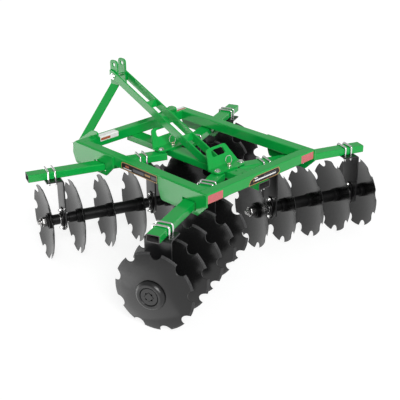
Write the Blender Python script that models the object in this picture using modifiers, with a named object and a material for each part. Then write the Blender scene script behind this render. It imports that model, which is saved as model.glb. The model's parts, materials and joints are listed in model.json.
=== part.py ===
"""Lift-type tandem disc harrow: four gangs of notched discs under a welded tube frame.

Metres, +Z up, +Y the way it is towed. The frame's middle is over the origin and the discs stand at z = 0.
"""
import math

import bmesh
import bpy
from mathutils import Matrix, Vector

# Sizes of the whole machine
disc_diameter = 0.4572
disc_spacing = 0.1905
disc_dish = 0.040
disc_thickness = 0.005
discs_per_gang = 5
gang_angle = math.radians(21.4)

frame_width = 0.9144
frame_length = 1.143
frame_top = 0.6245
tube_side = 0.0635
tube_corner = 0.007
tube_wall = 0.005
tube_inner_corner = 0.003

seam = 0.0003          # between welded or bolted pieces
slip = 0.005           # between a piece that moves and one that does not
overrun = 0.004        # how far a cutter passes the face that it leaves

# Gang bars and centre beam
bar_width = 0.078
bar_height = 0.046
bar_length = 0.865
bar_pivot_inset = 0.025
beam_width = 0.096
beam_height = 0.046
beam_rear_reach = 0.008     # past the rear cross tube
beam_front_inset = 0.006

# Gang adjusters
pivot_x = 0.100
front_pivot_back = 0.3925     # from the frame's front
rear_pivot_ahead = 0.2675     # from the frame's rear
pivot_bolt_radius = 0.008
pivot_head_radius = 0.014
pivot_head_height = 0.009
foot_thickness = 0.010
foot_half_width = 0.124
foot_rear = 0.026           # from the pivots' line to the rear edge
foot_front = 0.054          # from the pivots' line to the bend
foot_corner = 0.018
upright_top_half_width = 0.077
upright_height = 0.103
upright_lean = 0.067
upright_corner = 0.016
upright_sink = 0.004          # of the upright's foot in the plate
slot_half_width = 0.057
slot_taper = 0.008
slot_height = 0.042
slot_from_top = 0.016
slot_corner = 0.012
hole_pitch = 0.055
hole_count = 3
pin_radius = 0.0075
pin_collar_radius = 0.013
pin_collar_height = 0.010
pin_neck_height = 0.022
ring_height_share = 0.75     # of the neck's height
ring_lean = math.radians(60.0)
ring_radius = 0.026
ring_wire = 0.0022

# Side plates
plate_thickness = 0.012
plate_below_top = 0.004
plate_bottom = 0.484
plate_tip_cut = 0.066        # chamfer under the plate's rear corner
plate_corner = 0.012
front_plate_tail = 0.1213     # from the bar's crossing back to the front plate's rear edge
front_plate_nose = 0.0165     # past the frame's front
front_plate_toe = 0.0115      # from the frame's front back to the toe
rear_plate_head = 0.2483      # from the bar's crossing forward to the rear plate's front edge
rear_plate_tail = 0.0065      # past the frame's rear
rear_plate_taper = 0.022
window_slack = 0.008
window_corner = 0.006

# Three-point hitch
clevis_inset = 0.1222         # from the frame's side
clevis_thickness = 0.010
clevis_rise = 0.0395          # above the frame's top
clevis_hold = 0.0715          # from the frame's front back to the rear edge
clevis_shoulder = 0.0155
clevis_reach = 0.1505         # ahead of the frame's front
clevis_nose_drop = 0.0765     # below the frame's top
clevis_drop = 0.1195
clevis_round = 0.016
lower_pin_radius = 0.011
lower_pin_ahead = 0.1085      # of the frame's front
lower_pin_drop = 0.0715       # below the frame's top
lower_pin_reach = 0.067
lower_pin_collar_radius = 0.017
lower_pin_collar = 0.006
ear_x = 0.033
ear_thickness = 0.010
ear_ahead = 0.0755            # of the frame's front
ear_width = 0.071
ear_length = 0.159
ear_round = 0.022
link_hole_radius = 0.013
link_hole_depth = 0.030       # under the ear's top
mast_bolt_depth = 0.104       # under the ear's top
mast_foot_drop = 0.0775       # below the frame's top
mast_bolt_radius = 0.0095
mast_bolt_head_radius = 0.017
mast_bolt_head_height = 0.011
brace_thickness = 0.010
brace_width = 0.0508
brace_foot_ahead = 0.069      # of the rear pivots
brace_slope = math.radians(23.4)
brace_nose_drop = 0.012
brace_nose_length = 0.030
brace_head_inset = 0.004      # from the ears' front edge
brace_head_rise = 0.0497      # above the mast bolt
tie_share = (0.36, 0.70)      # along the brace, from the mast
tie_thickness = 0.010
tie_width = 0.045
tie_overlap = 0.001
tie_tilt = math.radians(50.0)  # from the braces' slope

# Hangers and bearings
hanger_width = 0.155
hanger_thickness = 0.0127
hanger_bottom = 0.160
hanger_chamfer = 0.030
hanger_foot = 0.100
hanger_bend = 0.016
ubolt_wire = 0.0063
ubolt_offsets = (0.038, 0.079)
ubolt_bend = 0.011
housing_radius = 0.052
housing_width = 0.046
bearing_slip = 0.001
journal_radius = 0.025

# Gang strings
front_gang_run = 0.345        # along the bar from its pivot to the middle disc's hub
rear_gang_run = 0.498
front_bearing_offset = 0.014  # outward from the middle between two discs
rear_bearing_offset = 0.0
notch_count = 9
notch_radius = 0.033
notch_sides = 10
disc_bevel = 0.015
disc_flat = 0.11
spool_flange_radius = 0.043
spool_flange_width = 0.028    # on the disc's concave side
spool_heel_width = 0.008      # on its convex side
spool_waist_radius = 0.037
spool_step_width = 0.004
spool_neck_radius = 0.032     # beside the bearings
bumper_radius = 0.083
bumper_face_radius = 0.066
bumper_recess_radius = 0.053
bumper_height = 0.022
bumper_recess = 0.012
bumper_recess_taper = 0.004
bumper_sink = 0.001
axle_side = 0.0286
washer_radii = (0.048, 0.037)
washer_height = 0.017
axle_nut_radius = 0.030
axle_nut_height = 0.026
axle_end_radius = 0.015
axle_end_reach = 0.018
disc_phase_step = math.radians(8.0)     # between one disc's notches and the next one's
front_phase = math.radians(24.0)
rear_phase = math.radians(4.0)

disc_radius = disc_diameter / 2
axle_height = disc_radius * math.cos(disc_phase_step / 2)     # the discs stand on their lowest lobes' corners
frame_bottom = frame_top - tube_side
bar_top = frame_bottom - slip
rail_face = frame_width / 2
frame_front = frame_length / 2
front_pivot_y = frame_front - front_pivot_back
rear_pivot_y = -frame_front + rear_pivot_ahead
bearing_shift = disc_spacing * (discs_per_gang - 2) / 2      # from the gang's middle to each hanger
foot_under = frame_bottom

# The origin is under the middle of the machine's whole length, from the rear discs' rims to the hitch plates' noses.
rear_hub = rear_gang_run + disc_spacing * (discs_per_gang - 1) / 2
rear_reach = (rear_hub - disc_dish) * math.sin(gang_angle) + disc_radius * math.cos(gang_angle) - rear_pivot_y
origin_shift = (rear_reach - frame_front - clevis_reach) / 2

# Each gang: name, side of the machine, end of the machine, pivot y, heading of the bar from the pivot,
# distance of the middle disc's hub from the pivot, which way along the bar the dishes face,
# how far the bearings stand off the spools' middles, and the turn of the first disc's notches.
GANGS = (
    ("front_left", -1, 1, front_pivot_y, math.pi - gang_angle, front_gang_run, 1, front_bearing_offset, front_phase),
    ("front_right", 1, 1, front_pivot_y, gang_angle, front_gang_run, 1, front_bearing_offset, front_phase),
    ("rear_left", -1, -1, rear_pivot_y, math.pi + gang_angle, rear_gang_run, -1, rear_bearing_offset, rear_phase),
    ("rear_right", 1, -1, rear_pivot_y, -gang_angle, rear_gang_run, -1, rear_bearing_offset, rear_phase),
)

for old in list(bpy.data.objects):
    bpy.data.objects.remove(old, do_unlink=True)

harrow = bpy.data.collections.new("disc_harrow")
bpy.context.scene.collection.children.link(harrow)
cutters = bpy.data.collections.new("cutters")
cutters.hide_render = True
bpy.context.scene.collection.children.link(cutters)


def material(name, colour, metallic, roughness):
    made = bpy.data.materials.new(name)
    made.use_nodes = True
    shader = made.node_tree.nodes["Principled BSDF"]
    shader.inputs["Base Color"].default_value = (*colour, 1)
    shader.inputs["Metallic"].default_value = metallic
    shader.inputs["Roughness"].default_value = roughness
    return made


PAINT = ((0.03, 0.30, 0.09), 0.0, 0.4)
BLACK = ((0.012, 0.012, 0.012), 0.0, 0.5)
DISC = ((0.016, 0.016, 0.017), 0.0, 0.3)
ZINC = ((0.75, 0.75, 0.75), 1.0, 0.3)


ground = bpy.data.objects.new("ground_middle", None)
harrow.objects.link(ground)
ground.location = (0, origin_shift, 0)


def add(name, mesh, look=None, place=None, parent=None):
    """An object in the harrow's collection, or among the cutters where it has no look."""
    thing = bpy.data.objects.new(name, mesh)
    (harrow if look else cutters).objects.link(thing)
    if look:
        thing.data.materials.clear()
        thing.data.materials.append(material(name, *look))
    else:
        thing.hide_render = True
        thing.display_type = "WIRE"
    thing.parent = parent or ground
    if place is not None:
        thing.matrix_local = place
    return thing


def empty(name, place, parent=None):
    made = bpy.data.objects.new(name, None)
    harrow.objects.link(made)
    made.parent = parent or ground
    made.matrix_local = place
    return made


def finished(thing):
    """The object's evaluated mesh in its own space, with the object removed."""
    bpy.context.view_layer.update()
    graph = bpy.context.evaluated_depsgraph_get()
    mesh = bpy.data.meshes.new_from_object(thing.evaluated_get(graph))
    work = bmesh.new()
    work.from_mesh(mesh)
    bmesh.ops.remove_doubles(work, verts=work.verts, dist=0.00001)
    work.to_mesh(mesh)
    work.free()
    bpy.data.objects.remove(thing, do_unlink=True)
    return mesh


def box(size, centre, bevel=0.0, axis=None):
    """A box; bevel rounds its four edges along axis, or all of its edges."""
    work = bmesh.new()
    bmesh.ops.create_cube(work, size=1.0)
    bmesh.ops.scale(work, vec=size, verts=work.verts)
    if bevel:
        edges = [
            edge for edge in work.edges
            if axis is None or abs((edge.verts[1].co - edge.verts[0].co).normalized()[axis]) > math.cos(0.1)
        ]
        bmesh.ops.bevel(work, geom=edges, offset=bevel, segments=2, profile=0.5, affect="EDGES")
    bmesh.ops.translate(work, vec=centre, verts=work.verts)
    mesh = bpy.data.meshes.new("box")
    work.to_mesh(mesh)
    work.free()
    return mesh


def drum(radius, depth, place, sides=16, tip=None):
    """A cylinder or cone along the place's Z."""
    work = bmesh.new()
    bmesh.ops.create_cone(
        work, cap_ends=True, segments=sides, radius1=radius, radius2=radius if tip is None else tip, depth=depth
    )
    bmesh.ops.transform(work, matrix=place, verts=work.verts)
    mesh = bpy.data.meshes.new("drum")
    work.to_mesh(mesh)
    work.free()
    return mesh


def slab(points, thickness, corner=0.0, place=None, corners=None):
    """A plate cut to an outline in its own XY plane, centred on it, with rounded corners."""
    work = bmesh.new()
    ring = [work.verts.new((x, y, -thickness / 2)) for x, y in points]
    face = work.faces.new(ring)
    if corner:
        chosen = ring if corners is None else [ring[i] for i in corners]
        bmesh.ops.bevel(
            work, geom=chosen, offset=corner, segments=3, profile=0.5, affect="VERTICES"
        )
    lifted = bmesh.ops.extrude_face_region(work, geom=list(work.faces))
    moved = [item for item in lifted["geom"] if isinstance(item, bmesh.types.BMVert)]
    bmesh.ops.translate(work, vec=(0, 0, thickness), verts=moved)
    bmesh.ops.recalc_face_normals(work, faces=work.faces)
    if place is not None:
        bmesh.ops.transform(work, matrix=place, verts=work.verts)
    mesh = bpy.data.meshes.new("slab")
    work.to_mesh(mesh)
    work.free()
    return mesh


def rod(points, radius, closed=False, sides=1):
    """A round bar along straight runs between points."""
    curve = bpy.data.curves.new("rod", "CURVE")
    curve.dimensions = "3D"
    curve.bevel_depth = radius
    curve.bevel_resolution = sides
    curve.use_fill_caps = True
    run = curve.splines.new("POLY")
    run.points.add(len(points) - 1)
    for point, at in zip(run.points, points):
        point.co = (*at, 1)
    run.use_cyclic_u = closed
    thing = bpy.data.objects.new("rod", curve)
    bpy.context.scene.collection.objects.link(thing)
    return finished(thing)


def turned(profile, steps):
    """A solid of revolution about Z from (radius, height) points, top to bottom."""
    mesh = bpy.data.meshes.new("turned")
    mesh.from_pydata(
        [(radius, 0, height) for radius, height in profile],
        [(i, i + 1) for i in range(len(profile) - 1)],
        [],
    )
    thing = bpy.data.objects.new("turned", mesh)
    bpy.context.scene.collection.objects.link(thing)
    screw = thing.modifiers.new("turn", "SCREW")
    screw.angle = math.tau
    screw.steps = screw.render_steps = steps
    screw.use_merge_vertices = True
    screw.merge_threshold = 0.0001
    return finished(thing)


def moved(mesh, place):
    copy = mesh.copy()
    copy.transform(place)
    return copy


def merged(meshes):
    """Several meshes as one mesh, not joined where they touch."""
    work = bmesh.new()
    for mesh in meshes:
        work.from_mesh(mesh)
    made = bpy.data.meshes.new("merged")
    work.to_mesh(made)
    work.free()
    return made


def combined(mesh, others, operation):
    """The mesh with others joined to it, or cut from it."""
    body = bpy.data.objects.new("body", mesh)
    bpy.context.scene.collection.objects.link(body)
    tools = []
    for i, other in enumerate(others):
        tool = bpy.data.objects.new("tool", other)
        cutters.objects.link(tool)
        change = body.modifiers.new(f"{operation}_{i}", "BOOLEAN")
        change.operation = operation
        change.solver = "EXACT"
        change.object = tool
        tools.append(tool)
    result = finished(body)
    for tool in tools:
        bpy.data.objects.remove(tool, do_unlink=True)
    return result


def union(mesh, *others):
    return combined(mesh, others, "UNION")


def cut(mesh, *others):
    return combined(mesh, others, "DIFFERENCE")


def at(x, y, z):
    return Matrix.Translation((x, y, z))


def turn(degrees, axis):
    return Matrix.Rotation(math.radians(degrees), 4, axis)


def upright_plate(x):
    """Puts a slab drawn as (y, z) in a plane across X."""
    return at(x, 0, 0) @ Matrix(((0, 0, 1, 0), (1, 0, 0, 0), (0, 1, 0, 0), (0, 0, 0, 1)))


# Main frame
rail_length = frame_length - 2 * tube_side - 2 * seam
for side, name in ((-1, "left"), (1, "right")):
    rail_x = side * (rail_face - tube_side / 2)
    add(f"side_rail_{name}", box((tube_side, rail_length, tube_side), (rail_x, 0, frame_top - tube_side / 2),
                                 tube_corner, 1), PAINT)
for end, name in ((1, "front"), (-1, "rear")):
    tube_y = end * (frame_length - tube_side) / 2
    add(f"cross_tube_{name}", box((frame_width, tube_side, tube_side), (0, tube_y, frame_top - tube_side / 2),
                                  tube_corner, 0), PAINT)

beam_rear = -frame_length / 2 - beam_rear_reach
beam_front = frame_length / 2 - beam_front_inset
beam_length = beam_front - beam_rear
beam_middle = (beam_front + beam_rear) / 2
beam_top = frame_bottom - seam
beam_z = beam_top - beam_height / 2


def hollow_tube(width, length, height, centre, axis):
    """A tube with open ends along axis."""
    sizes = [width, height]
    sizes.insert(axis, length)
    inner = [size - 2 * tube_wall for size in sizes]
    inner[axis] = length + 2 * overrun
    return cut(box(sizes, centre, tube_corner, axis), box(inner, centre, tube_inner_corner, axis))


def beam_holes():
    """The rows of pin holes in the beam's top, from each adjuster's pin outward."""
    return [
        drum(pin_radius + bearing_slip, tube_wall + 2 * overrun, at(0, pivot + end * i * hole_pitch, beam_top), 10)
        for pivot, end in ((front_pivot_y, 1), (rear_pivot_y, -1)) for i in range(hole_count)
    ]


add("centre_beam", cut(hollow_tube(beam_width, beam_length, beam_height, (0, beam_middle, beam_z), 1),
                       *beam_holes()), PAINT)

# Side plates, each with the window that its gang bar runs through
plate_top = frame_top - plate_below_top
window_bottom = bar_top - bar_height - slip
window_top = frame_bottom


def side_plate(name, side, outline, rounded, crossing_y):
    reach = (bar_width / math.cos(gang_angle) + plate_thickness * math.tan(gang_angle)) / 2 + window_slack
    x = side * (rail_face + seam + plate_thickness / 2)
    plate = slab(outline, plate_thickness, plate_corner, upright_plate(x), rounded)
    window = box((plate_thickness + 2 * overrun, 2 * reach, window_top - window_bottom),
                 (x, crossing_y, (window_top + window_bottom) / 2), window_corner, 0)
    add(name, cut(plate, window), PAINT)


crossing_run = rail_face + plate_thickness / 2 - pivot_x
front_crossing = front_pivot_y + crossing_run * math.tan(gang_angle)
rear_crossing = rear_pivot_y - crossing_run * math.tan(gang_angle)
nose_drop = plate_top - plate_bottom
front_tail_y = front_crossing - front_plate_tail
front_nose_y = frame_front + front_plate_nose
rear_tail_y = -frame_front - rear_plate_tail
rear_head_y = rear_crossing + rear_plate_head
front_outline = (
    (front_tail_y, plate_top), (front_tail_y, plate_bottom + plate_tip_cut),
    (front_tail_y + plate_tip_cut, plate_bottom), (frame_front - front_plate_toe, plate_bottom),
    (front_nose_y, plate_bottom + nose_drop / 2), (front_nose_y - plate_corner, plate_top),
)
rear_outline = (
    (rear_tail_y, plate_top), (rear_tail_y, plate_bottom + plate_tip_cut),
    (rear_tail_y + plate_tip_cut, plate_bottom), (rear_head_y - rear_plate_taper, plate_bottom),
    (rear_head_y, plate_bottom + plate_tip_cut), (rear_head_y, plate_top),
)
for side, name in ((-1, "left"), (1, "right")):
    side_plate(f"side_plate_front_{name}", side, front_outline, (3, 4, 5), front_crossing)
    side_plate(f"side_plate_rear_{name}", side, rear_outline, (3, 4), rear_crossing)

# Lower hitch: a plate inside each front corner, and a pin
clevis_x = rail_face - clevis_inset
clevis_rear_y = frame_front - clevis_hold
clevis_front_y = frame_front + clevis_reach
clevis_top = frame_top + clevis_rise
clevis_bottom = frame_top - clevis_drop
lower_pin_y = frame_front + lower_pin_ahead
lower_pin_z = frame_top - lower_pin_drop
for side, name in ((-1, "left"), (1, "right")):
    x = side * clevis_x
    outline = (
        (clevis_rear_y, frame_top + seam), (clevis_rear_y, clevis_top), (frame_front - clevis_shoulder, clevis_top),
        (clevis_front_y, frame_top - clevis_nose_drop), (clevis_front_y, clevis_bottom),
        (frame_front + seam, clevis_bottom), (frame_front + seam, frame_top + seam),
    )
    plate = slab(outline, clevis_thickness, clevis_round, upright_plate(x), (1, 2, 3, 4))
    hole = drum(lower_pin_radius + seam, clevis_thickness + 2 * overrun,
                at(x, lower_pin_y, lower_pin_z) @ turn(90, "Y"), 12)
    add(f"hitch_plate_{name}", cut(plate, hole), PAINT)
    face = clevis_x + clevis_thickness / 2 + seam
    inner_end = clevis_x - clevis_thickness / 2
    outer_end = clevis_x + clevis_thickness / 2 + lower_pin_reach
    stud = drum(lower_pin_radius, outer_end - inner_end,
                at(side * (inner_end + outer_end) / 2, lower_pin_y, lower_pin_z) @ turn(90, "Y"), 12)
    collar = drum(lower_pin_collar_radius, lower_pin_collar,
                  at(side * (face + lower_pin_collar / 2), lower_pin_y, lower_pin_z) @ turn(90, "Y"), 12)
    add(f"lower_hitch_pin_{name}", union(stud, collar), ZINC)

# Mast: two bars bent out from the top link's ears to the hitch plates, a bolt and two braces
ear_rear_y = frame_front + ear_ahead
ear_front_y = ear_rear_y + ear_width
ear_middle_y = (ear_rear_y + ear_front_y) / 2
head_y = ear_front_y - brace_head_inset
brace_foot_y = rear_pivot_y + brace_foot_ahead
brace_foot_z = beam_top + seam
mast_bolt_z = brace_foot_z + (head_y - brace_foot_y) * math.tan(brace_slope) - brace_head_rise
ear_top = mast_bolt_z + mast_bolt_depth
ear_bottom = ear_top - ear_length
link_hole_z = ear_top - link_hole_depth


def mast_bar(side):
    """A flat bar, upright at the top and splayed below, rounded over at its ear."""
    outer = ear_x + ear_thickness / 2
    inner = outer - ear_thickness
    foot_x = clevis_x - clevis_thickness / 2 - seam
    foot_z = frame_top - mast_foot_drop
    fall = (ear_bottom - foot_z) / (foot_x - outer)
    under = ear_thickness * math.hypot(1, fall)
    outline = (
        (side * outer, ear_top), (side * outer, ear_bottom), (side * foot_x, foot_z),
        (side * foot_x, foot_z - under), (side * inner, ear_bottom + ear_thickness * fall - under),
        (side * inner, ear_top),
    )
    across_y = at(0, ear_middle_y, 0) @ Matrix(((1, 0, 0, 0), (0, 0, 1, 0), (0, 1, 0, 0), (0, 0, 0, 1)))
    work = bmesh.new()
    work.from_mesh(slab(outline, ear_width, 0, across_y))
    bmesh.ops.recalc_face_normals(work, faces=work.faces)
    tops = [edge for edge in work.edges
            if all(abs(v.co.z - ear_top) < seam for v in edge.verts)
            and abs(edge.verts[0].co.y - edge.verts[1].co.y) < seam]
    bmesh.ops.bevel(work, geom=tops, offset=ear_round, segments=4, profile=0.5, affect="EDGES")
    mesh = bpy.data.meshes.new("mast_bar")
    work.to_mesh(mesh)
    work.free()
    holes = [
        drum(radius, ear_thickness + 2 * overrun, at(side * ear_x, ear_middle_y, z) @ turn(90, "Y"), 16)
        for radius, z in ((link_hole_radius, link_hole_z), (mast_bolt_radius + seam, mast_bolt_z))
    ]
    return cut(mesh, *holes)


for side, name in ((-1, "left"), (1, "right")):
    add(f"mast_bar_{name}", mast_bar(side), PAINT)

brace_x = ear_x + ear_thickness / 2 + seam + brace_thickness / 2
bolt_reach = brace_x + brace_thickness / 2 + seam
bolt = drum(mast_bolt_radius, 2 * (bolt_reach + mast_bolt_head_height),
            at(0, ear_middle_y, mast_bolt_z) @ turn(90, "Y"), 12)
heads = [
    drum(mast_bolt_head_radius, mast_bolt_head_height,
         at(side * (bolt_reach + mast_bolt_head_height / 2), ear_middle_y, mast_bolt_z) @ turn(90, "Y"), 6)
    for side in (-1, 1)
]
add("mast_bolt", union(bolt, *heads), ZINC)

# The braces' top edge runs down from the ears to the beam.
slope = math.tan(brace_slope)
drop = brace_width / math.cos(brace_slope)


def brace_top(y):
    return brace_foot_z + (y - brace_foot_y) * slope


outline = (
    (brace_foot_y, brace_foot_z), (brace_foot_y + drop / slope, brace_foot_z),
    (head_y, brace_top(head_y) - drop), (head_y, brace_top(head_y) - brace_nose_drop),
    (head_y - brace_nose_length, brace_top(head_y - brace_nose_length)),
)
braces = [slab(outline, brace_thickness, 0, upright_plate(side * brace_x)) for side in (-1, 1)]
ties = []
for share in tie_share:
    y = head_y + share * (brace_foot_y - head_y)
    z = brace_top(y) - drop / 2
    ties.append(moved(box((2 * (brace_x + tie_overlap), tie_width, tie_thickness), (0, 0, 0)),
                      at(0, y, z) @ Matrix.Rotation(brace_slope + tie_tilt, 4, "X")))
joined = union(ties[0], *braces)
joined = union(joined, ties[1])
bolt_hole = drum(mast_bolt_radius + seam, 4 * brace_x, at(0, ear_middle_y, mast_bolt_z) @ turn(90, "Y"), 12)
add("mast_braces", cut(joined, bolt_hole), PAINT)

# Gang adjusters: a foot on the beam and the bars' inner ends, and an upright with a hand slot
ADJUSTERS = (("front", front_pivot_y, 1), ("rear", rear_pivot_y, -1))


def adjuster_plate():
    """The bent plate about its pin: X across, Y forward, Z from the foot's underside."""
    foot = slab(
        ((-foot_half_width, foot_front), (-foot_half_width, -foot_rear + foot_corner),
         (-foot_half_width + foot_corner, -foot_rear), (foot_half_width - foot_corner, -foot_rear),
         (foot_half_width, -foot_rear + foot_corner), (foot_half_width, foot_front)),
        foot_thickness, 0, at(0, 0, foot_thickness / 2))
    length = math.hypot(upright_height, upright_lean)
    tilt = math.atan2(upright_lean, upright_height)
    upright = slab(
        ((-foot_half_width, 0), (foot_half_width, 0), (upright_top_half_width, length),
         (-upright_top_half_width, length)),
        foot_thickness, upright_corner, None, (2, 3))
    slot_top = length - slot_from_top
    slot_foot = slot_top - slot_height
    slot_top_half_width = slot_half_width - slot_taper
    slot = slab(
        ((-slot_half_width, slot_foot), (slot_half_width, slot_foot),
         (slot_top_half_width, slot_top), (-slot_top_half_width, slot_top)),
        foot_thickness + 2 * overrun, slot_corner)
    raised = at(0, foot_front - foot_thickness / 2, upright_sink) @ Matrix.Rotation(math.pi / 2 - tilt, 4, "X")
    plate = union(foot, moved(cut(upright, slot), raised))
    hole = drum(pin_radius + seam, foot_thickness + 2 * overrun, at(0, 0, foot_thickness / 2), 12)
    return cut(plate, hole)


def adjuster_pin():
    """A pin with a collar on the foot and a ring clip through its neck."""
    shank = drum(pin_radius, foot_thickness + pin_neck_height, at(0, 0, (foot_thickness + pin_neck_height) / 2), 12)
    collar = drum(pin_collar_radius, pin_collar_height, at(0, 0, foot_thickness + seam + pin_collar_height / 2), 12)
    lean = at(0, 0, foot_thickness + pin_neck_height * ring_height_share)
    lean = lean @ Matrix.Rotation(ring_lean, 4, "X") @ at(0, ring_radius, 0)
    ring = rod([lean @ Vector((ring_radius * math.cos(a), ring_radius * math.sin(a), 0))
                for a in (math.tau * i / 12 for i in range(12))], ring_wire, True, 0)
    return union(shank, collar, ring)


adjusters = {}
for name, pivot, end in ADJUSTERS:
    holder = empty(f"slide_{name}", at(0, pivot, foot_under))
    adjusters[end] = holder
    plate = adjuster_plate()
    bolt_holes = [drum(pivot_bolt_radius + bearing_slip / 2, foot_thickness + 2 * overrun,
                       at(side * pivot_x, 0, foot_thickness / 2), 12) for side in (-1, 1)]
    add(f"adjuster_plate_{name}", cut(plate, *bolt_holes), PAINT, Matrix(), holder)
    add(f"adjuster_pin_{name}", adjuster_pin(), ZINC, Matrix(), holder)


# Gang bars, hangers and disc gangs
def gang_bar():
    """The bar about its pivot, X outward: a tube with its pivot bolt welded through."""
    centre = (bar_length / 2 - bar_pivot_inset, 0, bar_top - bar_height / 2)
    tube = hollow_tube(bar_width, bar_length, bar_height, centre, 0)
    top = foot_under + foot_thickness + seam + pivot_head_height
    bolt = drum(pivot_bolt_radius, top - bar_top + bar_height, at(0, 0, (top + bar_top - bar_height) / 2), 8)
    head = drum(pivot_head_radius, pivot_head_height, at(0, 0, top - pivot_head_height / 2), 6)
    return union(tube, bolt, head)


def ubolt(u):
    """A U-bolt over the bar, with its nuts under the hanger's foot."""
    half = bar_width / 2 + seam + ubolt_wire
    top = bar_top + seam + ubolt_wire
    low = bar_top - bar_height - seam - hanger_thickness / 2
    bend = ubolt_bend
    points = [(u, -half, low)]
    for i in range(3):
        a = math.pi / 4 * i
        points.append((u, -half + bend - bend * math.cos(a), top - bend + bend * math.sin(a)))
    points += [(x, -y, z) for x, y, z in reversed(points)]
    return rod(points, ubolt_wire, False, 1)


def hanger(u, toe):
    """A bent plate under the bar that holds a bearing on the gang's axle; toe is the way its foot points."""
    top = bar_top - bar_height - seam
    plate = slab(
        ((-hanger_width / 2, top), (-hanger_width / 2, hanger_bottom + hanger_chamfer),
         (-hanger_width / 2 + hanger_chamfer, hanger_bottom), (hanger_width / 2 - hanger_chamfer, hanger_bottom),
         (hanger_width / 2, hanger_bottom + hanger_chamfer), (hanger_width / 2, top)),
        hanger_thickness, 0, at(u, 0, 0) @ Matrix(((0, 0, 1, 0), (1, 0, 0, 0), (0, 1, 0, 0), (0, 0, 0, 1))))
    far = u + toe * hanger_foot
    near = u - toe * hanger_thickness / 2
    foot = box((abs(far - near), hanger_width, hanger_thickness), ((far + near) / 2, 0, top - hanger_thickness / 2))
    housing = drum(housing_radius, housing_width, at(u, 0, axle_height) @ turn(90, "Y"), 12)
    bore = drum(journal_radius + bearing_slip, housing_width + 2 * overrun, at(u, 0, axle_height) @ turn(90, "Y"), 12)
    body = cut(union(plate, foot, housing), bore)
    for offset in ubolt_offsets:
        x = u + toe * offset
        body = union(body, ubolt(x))
    return body


def dish(radius):
    """How far the disc's concave face stands toward its rim at this radius."""
    sphere = (disc_radius ** 2 + disc_dish ** 2) / (2 * disc_dish)
    return sphere - math.sqrt(sphere ** 2 - radius ** 2)


def disc_blade():
    """A notched disc about Z, concave upward, with its hub's concave side at the origin."""
    bevel_start = disc_radius - disc_bevel
    blade = turned((
        (0, 0), (disc_flat, dish(disc_flat)), (disc_radius, disc_dish),
        (bevel_start, dish(bevel_start) - disc_thickness),
        (disc_flat, dish(disc_flat) - disc_thickness), (0, -disc_thickness),
    ), 2 * notch_count)
    # A corner of each notch's outline points at the hub.
    corner_in = turn(90, "Z")
    notches = merged([
        drum(notch_radius, 2 * disc_dish,
             Matrix.Rotation(math.tau * i / notch_count, 4, "Z") @ at(disc_radius, 0, disc_dish) @ corner_in, notch_sides)
        for i in range(notch_count)
    ])
    return cut(blade, notches)


def gang_string(outward):
    """Spools, washers, nut and bumper about Z, up being the way the discs face; zero is the middle hub.

    outward is how far up the bearings stand off their spools' middles.
    """
    last = disc_spacing * (discs_per_gang - 1) / 2
    profile = [(0, last + 2 * washer_height + axle_nut_height)]
    top = last + 2 * washer_height
    profile += [(axle_nut_radius, last + 2 * washer_height + axle_nut_height), (axle_nut_radius, top),
                (washer_radii[1], top), (washer_radii[1], last + washer_height),
                (washer_radii[0], last + washer_height)]
    for i in range(discs_per_gang - 1):
        upper = last - i * disc_spacing
        lower = upper - disc_spacing
        middle = (upper + lower) / 2 + outward
        under = upper - disc_thickness
        bearing = i in (0, discs_per_gang - 2)
        profile += [(spool_flange_radius, under - spool_heel_width)]
        if bearing:
            gap = housing_width / 2 + slip
            profile += [(spool_neck_radius, under - spool_heel_width - spool_step_width),
                        (spool_neck_radius, middle + gap), (journal_radius, middle + gap),
                        (journal_radius, middle - gap), (spool_neck_radius, middle - gap),
                        (spool_neck_radius, lower + spool_flange_width + spool_step_width)]
        else:
            profile += [(spool_waist_radius, under - spool_heel_width - spool_step_width),
                        (spool_waist_radius, lower + spool_flange_width + spool_step_width)]
        profile += [(spool_flange_radius, lower + spool_flange_width)]
    low = -last - disc_thickness
    profile += [(bumper_radius, low + dish(bumper_radius) - bumper_sink), (bumper_face_radius, low - bumper_height),
                (bumper_recess_radius, low - bumper_height),
                (bumper_recess_radius - bumper_recess_taper, low - bumper_height + bumper_recess),
                (0, low - bumper_height + bumper_recess)]
    return turned(profile, 10)


def disc_gang(outward):
    """The discs on their string, as one turning piece."""
    last = disc_spacing * (discs_per_gang - 1) / 2
    blade = disc_blade()
    blades = merged([
        moved(blade, at(0, 0, last - i * disc_spacing) @ Matrix.Rotation(-(i % 2) * disc_phase_step, 4, "Z"))
        for i in range(discs_per_gang)
    ])
    low = -last - disc_thickness
    square = box((axle_side, axle_side, bumper_recess + bumper_height / 2),
                 (0, 0, low - bumper_height + (bumper_recess + bumper_height / 2) / 2))
    stub = drum(axle_end_radius, axle_nut_height + 2 * axle_end_reach,
                at(0, 0, last + 2 * washer_height + axle_nut_height), 10)
    return union(gang_string(outward), blades, square, stub)


gang_meshes = {outward: disc_gang(outward) for outward in (front_bearing_offset, rear_bearing_offset)}
bar_mesh = gang_bar()
for name, side, end, pivot, heading, middle, facing, outward, phase in GANGS:
    swing = empty(f"pivot_{name}", at(side * pivot_x, pivot, 0) @ Matrix.Rotation(heading, 4, "Z"))
    add(f"gang_bar_{name}", bar_mesh.copy(), PAINT, Matrix(), swing)
    for label, shift in (("outer", bearing_shift), ("inner", -bearing_shift)):
        add(f"hanger_{name}_{label}", hanger(middle + shift + facing * outward, facing), BLACK, Matrix(), swing)
    axle = empty(f"axle_{name}", at(middle, 0, axle_height) @ Matrix.Rotation(facing * math.pi / 2, 4, "Y"), swing)
    add(f"disc_gang_{name}", gang_meshes[outward].copy(), DISC, Matrix.Rotation(phase, 4, "Z"), axle)
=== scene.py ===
"""Looks of a lift-type tandem disc harrow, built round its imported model.

Metres, +Z up, +Y the way it is towed.
"""

import json
import math
import random

import bmesh
import bpy
from mathutils import Matrix, Vector


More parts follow.
